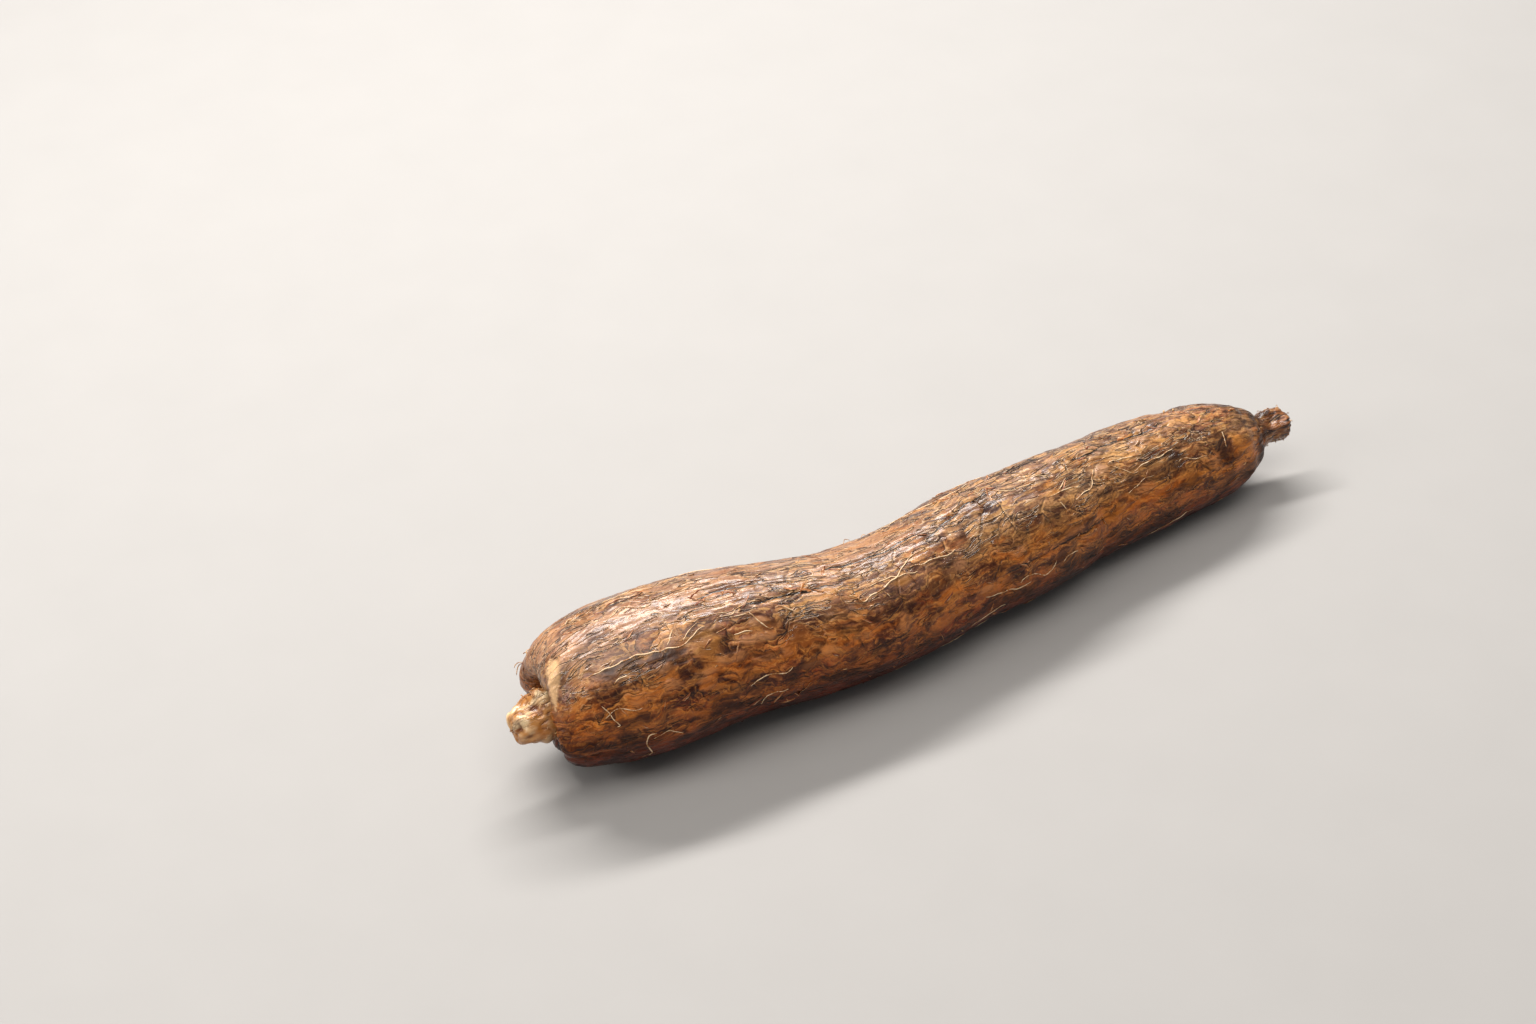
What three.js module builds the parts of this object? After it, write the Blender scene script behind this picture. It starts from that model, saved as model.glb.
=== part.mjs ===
// A cassava root as lifted and sold: one grown piece, lying on its side on three low points.
// Millimetres, +Z up. +X runs along the root from the thick neck end to the thin tail end, and the
// origin is on the surface it lies on, under the middle of its box.
// An angle on the skin is in degrees round the root: 0 is the top, 90 the front (-Y), 180 the
// underside and -90 the back.
import * as THREE from "three";

const { clamp, degToRad, lerp, smoothstep } = THREE.MathUtils;

// ---- Mesh ----
const AROUND = 75; // faces round the girth
const LIES_ON = 0; // height of the surface that the root lies on

// ---- Profile: the radius along the root ----
// It starts at the tip of the neck stub, goes back into the pit that the stub stands in, out over
// the fat shoulder, along the body and past the collar to the broken tail. `rows` is the number of
// rows of faces up to the next station.
const PROFILE = [
  { x: -192.6, radius: 0.0, rows: 1 },
  { x: -192.4, radius: 3.4, rows: 1 },
  { x: -190.4, radius: 6.4, rows: 2 },
  { x: -186.0, radius: 7.9, rows: 3 },
  { x: -180.0, radius: 9.0, rows: 3 },
  { x: -172.4, radius: 9.8, rows: 1 },
  { x: -172.0, radius: 11.6, rows: 2 },
  { x: -176.6, radius: 13.6, rows: 2 },
  { x: -178.6, radius: 18.0, rows: 2 },
  { x: -176.4, radius: 22.8, rows: 2 },
  { x: -169.0, radius: 27.4, rows: 3 },
  { x: -153.0, radius: 31.6, rows: 3 },
  { x: -135.0, radius: 33.1, rows: 4 },
  { x: -105.0, radius: 32.1, rows: 5 },
  { x: -70.0, radius: 29.8, rows: 4 },
  { x: -35.0, radius: 28.4, rows: 4 },
  { x: 0.0, radius: 28.1, rows: 5 },
  { x: 40.0, radius: 27.8, rows: 4 },
  { x: 68.0, radius: 26.6, rows: 5 },
  { x: 95.0, radius: 24.7, rows: 5 },
  { x: 130.0, radius: 23.7, rows: 3 },
  { x: 150.0, radius: 22.0, rows: 3 },
  { x: 165.0, radius: 18.6, rows: 2 },
  { x: 174.0, radius: 13.8, rows: 2 },
  { x: 178.5, radius: 8.8, rows: 2 },
  { x: 181.5, radius: 7.2, rows: 1 },
  { x: 186.0, radius: 6.7, rows: 3 },
  { x: 190.8, radius: 7.1, rows: 2 },
  { x: 194.2, radius: 6.2, rows: 1 },
  { x: 195.6, radius: 3.4, rows: 1 },
  { x: 195.2, radius: 0.0, rows: 0 },
];
// The stations between which one part of the root passes into the next.
const STUB_TO_PIT = [4.5, 5.5];
const PIT_TO_SHOULDER = [5.6, 7];
const SHOULDER_END = 11.5;
const BODY_TO_TAIL = [24, 25.5];

// ---- Middle line: a slow bend to the front and back again ----
const MIDDLE = [
  { x: -193, side: -3.0, height: 28.5 },
  { x: -178, side: -3.0, height: 31.5 },
  { x: -160, side: -3.0, height: 33.2 },
  { x: -130, side: -4.2, height: 33.2 },
  { x: -95, side: -5.5, height: 32.4 },
  { x: -60, side: -9.6, height: 29.9 },
  { x: -35, side: -11.3, height: 28.8 },
  { x: -10, side: -9.0, height: 28.9 },
  { x: 20, side: -4.0, height: 29.3 },
  { x: 50, side: -1.0, height: 28.5 },
  { x: 85, side: 5.0, height: 26.0 },
  { x: 115, side: 7.6, height: 24.7 },
  { x: 150, side: 8.8, height: 22.9 },
  { x: 180, side: 8.8, height: 22.6 },
  { x: 197, side: 8.3, height: 23.6 },
];

// ---- Sections: a little out of round, turning slowly along the root ----
const OVAL = { sides: 2, share: 0.014, angle: 65, turn: 0.45 }; // turn in degrees a millimetre
const THREE_SIDED = { sides: 3, share: 0.012, angle: 30, turn: -0.35 };

// ---- Low points that it rests on: swellings of the underside, pressed flat ----
const REST_SPOTS = [
  { x: -128, angle: -170, rise: 0.9, length: 20, spread: 24 },
  { x: -46, angle: 164, rise: 1.1, length: 18, spread: 24 },
  { x: 122, angle: 180, rise: 1.2, length: 20, spread: 30 },
];

// ---- Neck end: the shoulder round the pit, cut back below the stub ----
const CUT_BACK = { by: 5, angle: -172, full: 10, none: 88, along: [-178, -138] };
const SHOULDER_FORMS = [
  // The tongue of pale bark that runs over the rim and down beside the stub.
  { radius: [27, 12], angle: [8, 52], rise: 1.3, width: 3.6 },
  // The hollow behind the tongue, and the one below the stub.
  { radius: [20, 13], angle: [-18, -44], rise: -0.9, width: 4.2 },
  { radius: [22, 13], angle: [156, 134], rise: -2.4, width: 5.0 },
  // The rim stands out in front of the stub.
  { radius: [14, 21], angle: [64, 100], rise: 2.4, width: 6.5 },
  // Folds that fan out of the pit over the front of the shoulder.
  { radius: [15, 27], angle: [74, 70], rise: -0.9, width: 2.0 },
  { radius: [15, 28], angle: [92, 88], rise: -0.8, width: 2.0 },
  { radius: [15, 28], angle: [112, 106], rise: -0.9, width: 2.2 },
  { radius: [15, 27], angle: [-100, -92], rise: -0.9, width: 2.4 },
  { radius: [15, 27], angle: [-140, -128], rise: -0.8, width: 2.4 },
];

// ---- Cracks along the bark, each with a raised lip, from end to end ----
const CRACKS = [
  { x: [-146, -126], angle: [-16, -18], depth: 0.8 },
  { x: [-114, -78], angle: [6, 4], depth: 1.0 },
  { x: [-60, -8], angle: [3, 5], depth: 1.1 },
  { x: [-10, 34], angle: [14, -4], depth: 0.9 },
  { x: [74, 130], angle: [3, -1], depth: 1.0 },
  { x: [-96, -52], angle: [24, 20], depth: 0.7 },
  { x: [10, 66], angle: [-24, -20], depth: 0.8 },
  { x: [-120, -60], angle: [104, 112], depth: 0.8 },
  { x: [20, 84], angle: [76, 70], depth: 0.7 },
  { x: [-150, -84], angle: [-62, -56], depth: 1.0 },
  { x: [-70, 6], angle: [-88, -96], depth: 1.0 },
  { x: [30, 112], angle: [-70, -64], depth: 0.9 },
  { x: [-130, -66], angle: [-128, -134], depth: 0.9 },
  { x: [0, 76], angle: [-132, -126], depth: 0.8 },
  { x: [84, 150], angle: [-112, -118], depth: 0.8 },
  { x: [-20, 48], angle: [138, 132], depth: 0.8 },
];
const CRACK = { width: 2.0, lip: 0.4, lipAway: 3.8, end: 9 }; // it dies out over `end`

// ---- Knobs and hollows of the two broken stubs ----
const KNOBS = [
  // the neck stub
  { x: -178.5, angle: -6, rise: 1.6, size: 3.8 },
  { x: -183, angle: 14, rise: -1.7, size: 2.6 },
  { x: -184.5, angle: 32, rise: 1.1, size: 1.9 },
  { x: -189, angle: 2, rise: 1.2, size: 2.6 },
  { x: -189.5, angle: 30, rise: 1.5, size: 2.2 },
  { x: -188.5, angle: 70, rise: 1.4, size: 2.3 },
  { x: -191, angle: 49, rise: -1.6, size: 1.8 },
  { x: -184, angle: -60, rise: 1.3, size: 3.2 },
  { x: -187, angle: -120, rise: -1.4, size: 3.0 },
  { x: -182, angle: 170, rise: 1.4, size: 3.4 },
  { x: -189, angle: 150, rise: -1.2, size: 2.4 },
  { x: -179, angle: 116, rise: 2.4, size: 5.0 },
  { x: -186, angle: 104, rise: 1.0, size: 2.8 },
  // the tail stub
  { x: 187, angle: -18, rise: 1.4, size: 3.0 },
  { x: 186.5, angle: 18, rise: -1.8, size: 2.4 },
  { x: 186, angle: 55, rise: 1.0, size: 1.8 },
  { x: 190, angle: 38, rise: -1.3, size: 1.9 },
  { x: 192, angle: 60, rise: 1.4, size: 2.2 },
  { x: 188, angle: 84, rise: -1.0, size: 2.2 },
  { x: 190, angle: -70, rise: 1.3, size: 3.0 },
  { x: 188, angle: -130, rise: -1.5, size: 3.0 },
  { x: 191, angle: 165, rise: 1.2, size: 2.8 },
];

// ---- Rings where growth slowed: creases across the root over part of the girth ----
const RINGS = [
  { x: 79, angle: 72, spread: 66, depth: 1.5, width: 4.5 },
  { x: -46, angle: 30, spread: 60, depth: 0.6, width: 4 },
  { x: 138, angle: -60, spread: 80, depth: 0.9, width: 5 },
  { x: -92, angle: -120, spread: 70, depth: 0.8, width: 5 },
  { x: 170, angle: 60, spread: 110, depth: 0.7, width: 3 },
];

// ---- Uneven bark: { along: mm, around: cells round the girth, rise: mm } ----
const SWELLS = { along: 58, around: 5, rise: 0.45, seed: 3 };
const PLATES = { along: 30, around: 14, rise: 0.45, levels: 4, edge: [0.3, 0.7], seed: 11 };
const WRINKLES = { along: 17, around: 25, rise: 0.7, seed: 23 };
const WANDER = { along: 40, around: 6, turn: 14, seed: 5 }; // degrees that the plates wander
const LUMPS_MEAN = 0.6; // the usual height of lumps of height 1
const STUB_LUMPS = { along: 6, around: 6, rise: 1.8, seed: 31 };
const TAIL_LUMPS = { along: 5, around: 8, rise: 1.6, seed: 47 };

// The smooth curve through a, b, c and d, at t from b to c.
function smoothCurve(a, b, c, d, t) {
  const leave = (c - a) / 2;
  const arrive = (d - b) / 2;
  const t2 = t * t;
  const t3 = t2 * t;
  const toNext = 3 * t2 - 2 * t3;
  return (1 - toNext) * b + toNext * c + (t3 - 2 * t2 + t) * leave + (t3 - t2) * arrive;
}

// The value named `key` between stations i and i + 1 of a list, at t from one to the next.
function between(stations, key, i, t) {
  const pick = (n) => stations[clamp(n, 0, stations.length - 1)][key];
  return smoothCurve(pick(i - 1), pick(i), pick(i + 1), pick(i + 2), t);
}

// The middle line's value named `key` at x.
function middleAt(key, x) {
  let i = 0;
  while (i < MIDDLE.length - 2 && MIDDLE[i + 1].x < x) i += 1;
  const t = clamp((x - MIDDLE[i].x) / (MIDDLE[i + 1].x - MIDDLE[i].x), 0, 1);
  return between(MIDDLE, key, i, t);
}

// A fixed random number from 0 to 1 for a cell of the skin.
function cellValue(i, j, seed) {
  const s = Math.sin(i * 127.1 + j * 311.7 + seed * 74.7) * 43758.5453;
  return s - Math.floor(s);
}

// Smooth noise from 0 to 1 over the skin: cells `along` mm long, with `around` of them in a turn.
function noise(s, angle, { along, around, seed }) {
  const u = s / along;
  const v = (angle / 360) * around;
  const [i, j] = [Math.floor(u), Math.floor(v)];
  const fade = (t) => t * t * (3 - 2 * t);
  const [p, q] = [fade(u - i), fade(v - j)];
  const turn = (n) => ((n % around) + around) % around;
  const near = lerp(cellValue(i, turn(j), seed), cellValue(i, turn(j + 1), seed), q);
  const far = lerp(cellValue(i + 1, turn(j), seed), cellValue(i + 1, turn(j + 1), seed), q);
  return lerp(near, far, p);
}

// The same with creases where the noise crosses its middle, and rounded lumps between them.
const lumps = (s, angle, cells) => Math.sqrt(Math.abs(2 * noise(s, angle, cells) - 1));

// The short way round from one angle to another, in degrees, from -180 to 180.
const turnFrom = (from, to) => ((((to - from + 180) % 360) + 360) % 360) - 180;

// A soft bump of height 1 at distance 0, and about a third of that at `width`.
const bump = (distance, width) => Math.exp(-((distance / width) ** 2));

// How far along a stretch a value lies, from 0 to 1, and 1 inside it fading to 0 past its ends.
const shareOf = ([start, end], value) => clamp((value - start) / (end - start), 0, 1);
const within = ([start, end], value, fade) =>
  smoothstep(value, start - fade, start + fade) * (1 - smoothstep(value, end - fade, end + fade));

// Every row of the skin, tip to tip: where it is, which way the skin faces there (out.x and out.r),
// how far along the skin it is from the pit (s), and how much of it is stub, shoulder, body or tail.
function rowsOfSkin() {
  const rows = [];
  PROFILE.forEach((station, i) => {
    for (let k = 0; k < Math.max(station.rows, i === PROFILE.length - 1); k += 1) {
      const t = k / Math.max(station.rows, 1);
      rows.push({
        station: i + t,
        x: between(PROFILE, "x", i, t),
        radius: between(PROFILE, "radius", i, t),
      });
    }
  });
  rows.forEach((row, n) => {
    const before = rows[Math.max(n - 1, 0)];
    const after = rows[Math.min(n + 1, rows.length - 1)];
    const step = [after.x - before.x, after.radius - before.radius];
    const length = Math.hypot(...step) || 1;
    row.out = { x: -step[1] / length, r: step[0] / length };
    row.s = n ? rows[n - 1].s + Math.hypot(row.x - before.x, row.radius - before.radius) : 0;
    row.stub = 1 - smoothstep(row.station, ...STUB_TO_PIT);
    row.tail = smoothstep(row.station, ...BODY_TO_TAIL);
    row.body = (1 - row.stub) * (1 - row.tail);
  });
  return rows;
}

// The distance round the skin from one angle to another.
const distanceRound = (from, to, radius) => degToRad(turnFrom(from, to)) * radius;

// A crack at a point of the body: a groove, with a lip on its upper side.
function crackDepth({ x: stretch, angle: ends, depth }, { x, radius }, angle) {
  const across = distanceRound(lerp(...ends, shareOf(stretch, x)), angle, radius);
  const groove = bump(across, CRACK.width);
  const lip = CRACK.lip * bump(across + CRACK.lipAway, CRACK.width);
  return within(stretch, x, CRACK.end) * depth * (lip - groove);
}

function knob({ x: at, angle: middle, rise, size }, { x, radius }, angle) {
  return rise * bump(Math.hypot(x - at, distanceRound(middle, angle, radius)), size);
}

function ringDepth({ x: at, angle: middle, spread, depth, width }, { x }, angle) {
  return -depth * bump(x - at, width) * bump(turnFrom(middle, angle), spread);
}

// A form of the shoulder runs from one radius and angle to another.
function shoulderForm({ radius: ends, angle: turns, rise, width }, { radius }, angle) {
  const across = distanceRound(lerp(...turns, shareOf(ends, radius)), angle, radius);
  const past = Math.max(radius - Math.max(...ends), Math.min(...ends) - radius, 0);
  return rise * bump(across, width) * bump(past, width);
}

function restSpot({ x: at, angle: middle, rise, length, spread }, { x }, angle) {
  return rise * bump(x - at, length) * bump(turnFrom(middle, angle), spread);
}

const sum = (list, form, row, angle) => list.reduce((total, each) => total + form(each, row, angle), 0);

// How far the skin stands out from its profile at a row and an angle.
function relief(row, angle) {
  const { s, station, stub, body, tail } = row;
  const wander = WANDER.turn * (noise(s, angle, WANDER) - 0.5);
  const plate = PLATES.levels * noise(s, angle + wander, PLATES);
  const level = Math.floor(plate) + smoothstep(plate % 1, ...PLATES.edge);
  let rise = body * SWELLS.rise * (2 * noise(s, angle, SWELLS) - 1);
  rise += body * PLATES.rise * (level - PLATES.levels / 2);
  rise += body * WRINKLES.rise * (lumps(s, angle + wander, WRINKLES) - LUMPS_MEAN);
  if (station > SHOULDER_END) {
    rise += body * sum(CRACKS, crackDepth, row, angle);
    rise += body * sum(RINGS, ringDepth, row, angle);
    rise += body * sum(REST_SPOTS, restSpot, row, angle);
  } else {
    const outOfPit = smoothstep(station, ...PIT_TO_SHOULDER);
    rise += outOfPit * sum(SHOULDER_FORMS, shoulderForm, row, angle);
  }
  rise += stub * STUB_LUMPS.rise * (noise(s, angle, STUB_LUMPS) - 0.5);
  rise += tail * TAIL_LUMPS.rise * (noise(s, angle, TAIL_LUMPS) - 0.5);
  rise += (stub + tail) * sum(KNOBS, knob, row, angle);
  return rise;
}

// The share by which a section stands out of round.
function lobes({ sides, share, angle: first, turn }, x, angle) {
  return share * Math.cos(sides * degToRad(angle - first - turn * x));
}

// How far the shoulder is cut back towards the tail at an angle.
function cutBack({ x, stub }, angle) {
  const away = Math.abs(turnFrom(CUT_BACK.angle, angle));
  const share = (1 - stub) * (1 - smoothstep(x, ...CUT_BACK.along));
  return CUT_BACK.by * share * (1 - smoothstep(away, CUT_BACK.full, CUT_BACK.none));
}

// The point of the skin at a row and an angle.
function skinPoint(row, angle) {
  const rise = relief(row, angle);
  const outOfRound = lobes(OVAL, row.x, angle) + lobes(THREE_SIDED, row.x, angle);
  const x = row.x + rise * row.out.x + cutBack(row, angle);
  const radius = Math.max(row.radius * (1 + outOfRound) + rise * row.out.r, 0);
  return new THREE.Vector3(
    x,
    middleAt("side", row.x) - radius * Math.sin(degToRad(angle)),
    Math.max(middleAt("height", row.x) + radius * Math.cos(degToRad(angle)), LIES_ON),
  );
}

// One closed skin: a point at each tip and rings of points between.
function rootGeometry() {
  const rows = rowsOfSkin();
  const rings = rows.slice(1, -1);
  const angles = Array.from({ length: AROUND }, (_, j) => (360 * j) / AROUND);
  const tip = (row) => new THREE.Vector3(row.x, middleAt("side", row.x), middleAt("height", row.x));
  const ringPoints = rings.flatMap((row) => angles.map((angle) => skinPoint(row, angle)));
  const points = [tip(rows[0]), ...ringPoints, tip(rows.at(-1))];
  const at = (i, j) => 1 + i * AROUND + (j % AROUND);
  const faces = [];
  for (let j = 0; j < AROUND; j += 1) {
    faces.push(0, at(0, j + 1), at(0, j));
    for (let i = 0; i < rings.length - 1; i += 1) {
      faces.push(at(i, j), at(i, j + 1), at(i + 1, j));
      faces.push(at(i, j + 1), at(i + 1, j + 1), at(i + 1, j));
    }
    faces.push(points.length - 1, at(rings.length - 1, j), at(rings.length - 1, j + 1));
  }
  const geometry = new THREE.BufferGeometry().setFromPoints(points);
  geometry.setIndex(faces);
  geometry.computeVertexNormals();

  // The origin goes under the middle of its box.
  geometry.computeBoundingBox();
  const middle = geometry.boundingBox.getCenter(new THREE.Vector3());
  return geometry.translate(-middle.x, -middle.y, 0);
}

const bark = new THREE.MeshStandardMaterial({ color: "#7a4a2b", roughness: 0.5, metalness: 0 });
const root = new THREE.Mesh(rootGeometry(), bark);
root.name = "cassava_root";

const group = new THREE.Group();
group.add(root);
export default group;
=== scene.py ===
import math

import bpy
import numpy as np
from mathutils import Matrix, Vector


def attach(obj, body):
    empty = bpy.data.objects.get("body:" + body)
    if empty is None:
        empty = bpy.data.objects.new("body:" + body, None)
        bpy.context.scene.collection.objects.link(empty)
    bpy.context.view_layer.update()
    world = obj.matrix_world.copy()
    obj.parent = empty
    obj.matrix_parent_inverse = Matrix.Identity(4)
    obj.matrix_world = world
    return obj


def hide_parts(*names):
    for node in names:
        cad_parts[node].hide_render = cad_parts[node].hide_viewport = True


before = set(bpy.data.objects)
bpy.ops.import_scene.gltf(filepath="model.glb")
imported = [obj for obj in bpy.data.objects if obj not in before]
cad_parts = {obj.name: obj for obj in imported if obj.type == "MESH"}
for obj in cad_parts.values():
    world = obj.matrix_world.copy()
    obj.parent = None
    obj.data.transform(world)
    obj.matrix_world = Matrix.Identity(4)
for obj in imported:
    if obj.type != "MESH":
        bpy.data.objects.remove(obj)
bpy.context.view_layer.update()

# ---- The root's skin ----
# A cassava root is one swollen root of starchy flesh under a thin corky bark, all grown as one.
# This is the bark's surface, from the tip of the broken neck stub, down into the pit that the stub
# stands in, out over the fat shoulder and along the body to the broken tail.

# Lengths are in millimetres. Angles are in degrees round the root: 0 is the top, 90 the front (-Y),
# 180 the underside and -90 the back.
MM = 0.001
ROWS = 338
AROUND = 288
SHIFT = (-1.761, 3.830)  # puts the origin under the middle of the root

# (x, radius, rows of the solid up to the next station)
PROFILE = np.array([
    (-192.6, 0.0, 1), (-192.4, 3.4, 1), (-190.4, 6.4, 2), (-186.0, 7.9, 3), (-180.0, 9.0, 3),
    (-172.4, 9.8, 1), (-172.0, 11.6, 2), (-176.6, 13.6, 2), (-178.6, 18.0, 2), (-176.4, 22.8, 2),
    (-169.0, 27.4, 3), (-153.0, 31.6, 3), (-135.0, 33.1, 4), (-105.0, 32.1, 5), (-70.0, 29.8, 4),
    (-35.0, 28.4, 4), (0.0, 28.1, 5), (40.0, 27.8, 4), (68.0, 26.6, 5), (95.0, 24.7, 5),
    (130.0, 23.7, 3), (150.0, 22.0, 3), (165.0, 18.6, 2), (174.0, 13.8, 2), (178.5, 8.8, 2),
    (181.5, 7.2, 1), (186.0, 6.7, 3), (190.8, 7.1, 2), (194.2, 6.2, 1), (195.6, 3.4, 1),
    (195.2, 0.0, 1),
])
STUB_TO_PIT = (4.5, 5.5)
PIT_TO_SHOULDER = (5.6, 7)
SHOULDER_END = 11.5
BODY_TO_TAIL = (24, 25.5)
# Rows lie closer together over the stubs, the pit and the shoulder: stations, and how close there
CLOSENESS = [0, 9, 12, 21, 24, 30], [1.9, 1.6, 1, 1, 1.6, 1.9]
STEPS_TO_MEASURE = 6000

# (x, side, height) of the middle line
MIDDLE = np.array([
    (-193, -3.0, 28.5), (-178, -3.0, 31.5), (-160, -3.0, 33.2), (-130, -4.2, 33.2),
    (-95, -5.5, 32.4), (-60, -9.6, 29.9), (-35, -11.3, 28.8), (-10, -9.0, 28.9),
    (20, -4.0, 29.3), (50, -1.0, 28.5), (85, 5.0, 26.0), (115, 7.6, 24.7),
    (150, 8.8, 22.9), (180, 8.8, 22.6), (197, 8.3, 23.6),
])
LOBES = [(2, 0.014, 65, 0.45), (3, 0.012, 30, -0.35)]  # sides, share, angle, degrees a millimetre
# Swellings that it rests on: (x, angle, height, half length, half spread)
REST_SPOTS = [(-128, -170, 0.9, 20, 24), (-46, 164, 1.1, 18, 24), (122, 180, 1.2, 20, 30)]
# The shoulder is shorter underneath, by some mm at an angle, less with degrees away and along x
CUT_BACK = {"by": 5, "angle": -172, "full": 10, "none": 88, "along": (-178, -138)}

# Forms of the shoulder: (first radius, last radius, first angle, last angle, rise, width)
SHOULDER_FORMS = [
    (27, 12, 8, 52, 1.3, 3.6),
    (20, 13, -18, -44, -0.9, 4.2),
    (22, 13, 156, 134, -2.4, 5.0), (14, 21, 64, 100, 2.4, 6.5),
    (15, 27, 74, 70, -0.9, 2.0),
    (15, 28, 92, 88, -0.8, 2.0),
    (15, 28, 112, 106, -0.9, 2.2),
    (15, 27, -100, -92, -0.9, 2.4),
    (15, 27, -140, -128, -0.8, 2.4),
]

# Relief of the bark, in mm
WANDER = 14  # degrees that plates and wrinkles stray by
SWELL = 0.45
PLATES, PLATE_STEP = 4, 0.45
LUMP = 0.55
FLAKES, SMALL_FLAKES, FLAKE_LIFT = 7, 2.2, 0.3
WRINKLE = 0.16
LUMP_MIDDLE = 0.6  # the mean of the lumps, which leaves the size as it is

# Cracks: (first x, last x, first angle, last angle, depth)
CRACKS = [
    (-146, -126, -16, -18, 0.8), (-114, -78, 6, 4, 1.0), (-60, -8, 3, 5, 1.1),
    (-10, 34, 14, -4, 0.9), (74, 130, 3, -1, 1.0), (-96, -52, 24, 20, 0.7),
    (10, 66, -24, -20, 0.8), (-120, -60, 104, 112, 0.8), (20, 84, 76, 70, 0.7),
    (-150, -84, -62, -56, 1.0), (-70, 6, -88, -96, 1.0), (30, 112, -70, -64, 0.9),
    (-130, -66, -128, -134, 0.9), (0, 76, -132, -126, 0.8), (84, 150, -112, -118, 0.8),
    (-20, 48, 138, 132, 0.8),
]
CRACK_DEPTH = 0.45  # share of the depth above
CRACK_WIDTH = 0.9
# Width in mm of the painted shade along the cracks' grooves
CRACK_SHADE = 0.5
CRACK_LIP = 0.4
CRACK_LIP_AWAY = 2.4
CRACK_END = 9
CRACK_SWAY, CRACK_SHAKE = 1.6, 0.8

# Knobs and hollows of the two stubs: (x, angle, rise, size)
KNOBS = [
    (-178.5, -6, 1.6, 3.8), (-183, 14, -1.7, 2.6), (-184.5, 32, 1.1, 1.9), (-189, 2, 1.2, 2.6),
    (-189.5, 30, 1.5, 2.2), (-188.5, 70, 1.4, 2.3), (-191, 49, -1.6, 1.8), (-184, -60, 1.3, 3.2),
    (-187, -120, -1.4, 3.0), (-182, 170, 1.4, 3.4), (-189, 150, -1.2, 2.4),
    (-179, 116, 2.4, 5.0), (-186, 104, 1.0, 2.8),
    (187, -18, 1.4, 3.0), (186.5, 18, -1.8, 2.4), (186, 55, 1.0, 1.8), (190, 38, -1.3, 1.9),
    (192, 60, 1.4, 2.2), (188, 84, -1.0, 2.2), (190, -70, 1.3, 3.0), (188, -130, -1.5, 3.0),
    (191, 165, 1.2, 2.8),
]
STUB_LUMPS, TAIL_LUMPS = 1.8, 1.6
STUB_RAGGED, TAIL_RAGGED = 1.5, 1.1
RAGGED_TWIST = 20  # degrees

# Rings where growth slowed: (x, angle, spread, depth, width)
RINGS = [
    (79, 72, 66, 1.5, 4.5), (-46, 30, 60, 0.6, 4), (138, -60, 80, 0.9, 5),
    (-92, -120, 70, 0.8, 5), (170, 60, 110, 0.7, 3),
]


def smoothstep(value, start, end):
    t = np.clip((value - start) / (end - start), 0, 1)
    return t * t * (3 - 2 * t)


def bump(distance, width):
    return np.exp(-((distance / width) ** 2))


def turn_from(start, end):
    """The short way round from one angle to another, from -180 to 180 degrees."""
    return (end - start + 180) % 360 - 180


def between(table, column, i, t):
    """A smooth curve through a column of stations, at t from station i to the next."""
    def pick(n):
        return table[np.clip(n, 0, len(table) - 1), column]
    a, b, c, d = pick(i - 1), pick(i), pick(i + 1), pick(i + 2)
    to_next = 3 * t**2 - 2 * t**3
    bend = (t**3 - 2 * t**2 + t) * (c - a) / 2 + (t**3 - t**2) * (d - b) / 2
    return (1 - to_next) * b + to_next * c + bend


def at_station(station, column):
    i = np.minimum(np.floor(station).astype(int), len(PROFILE) - 1)
    return between(PROFILE, column, i, station - i)


def middle_at(x, column):
    i = np.clip(np.searchsorted(MIDDLE[:, 0], x) - 1, 0, len(MIDDLE) - 2)
    t = np.clip((x - MIDDLE[i, 0]) / (MIDDLE[i + 1, 0] - MIDDLE[i, 0]), 0, 1)
    return between(MIDDLE, column, i, t)


def cell_value(i, j, seed):
    """A fixed random number from 0 to 1 for a cell of the skin."""
    mixed = np.sin(i * 127.1 + j * 311.7 + seed * 74.7) * 43758.5453
    return mixed - np.floor(mixed)


def noise(along, around, seed, turned=0):
    """Smooth noise over the skin, from 0 to 1: cells `along` mm long, `around` of them in a turn."""
    u, v = s / along + 0 * angle, (angle + turned) / 360 * around + 0 * s
    i, j = np.floor(u), np.floor(v)
    p, q = smoothstep(u - i, 0, 1), smoothstep(v - j, 0, 1)
    low = cell_value(i, j % around, seed) * (1 - q) + cell_value(i, (j + 1) % around, seed) * q
    high = cell_value(i + 1, j % around, seed) * (1 - q) + cell_value(i + 1, (j + 1) % around, seed) * q
    return low * (1 - p) + high * p


def lumps(along, around, seed, turned=0):
    """Round lumps with narrow grooves between them."""
    return np.sqrt(np.abs(2 * noise(along, around, seed, turned) - 1))


def distance_round(start, end, radius):
    return np.radians(turn_from(start, end)) * radius


# The stations of the solid's own rows, and how far along the skin each of them is.
row_stations = [i + k / rows for i, (_, _, rows) in enumerate(PROFILE) for k in range(int(rows))]
row_stations = np.array(row_stations)
row_steps = np.hypot(np.diff(at_station(row_stations, 0)), np.diff(at_station(row_stations, 1)))
row_lengths = np.concatenate([[0], np.cumsum(row_steps)])

# Finer rows for the skin that shows.
fine = np.linspace(0, len(PROFILE) - 1, STEPS_TO_MEASURE)
fine_steps = np.hypot(np.diff(at_station(fine, 0)), np.diff(at_station(fine, 1)))
share = np.concatenate([[0], np.cumsum(fine_steps * np.interp(fine[:-1], *CLOSENESS))])
stations = np.interp(np.linspace(0, share[-1], ROWS + 1), share, fine)

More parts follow.
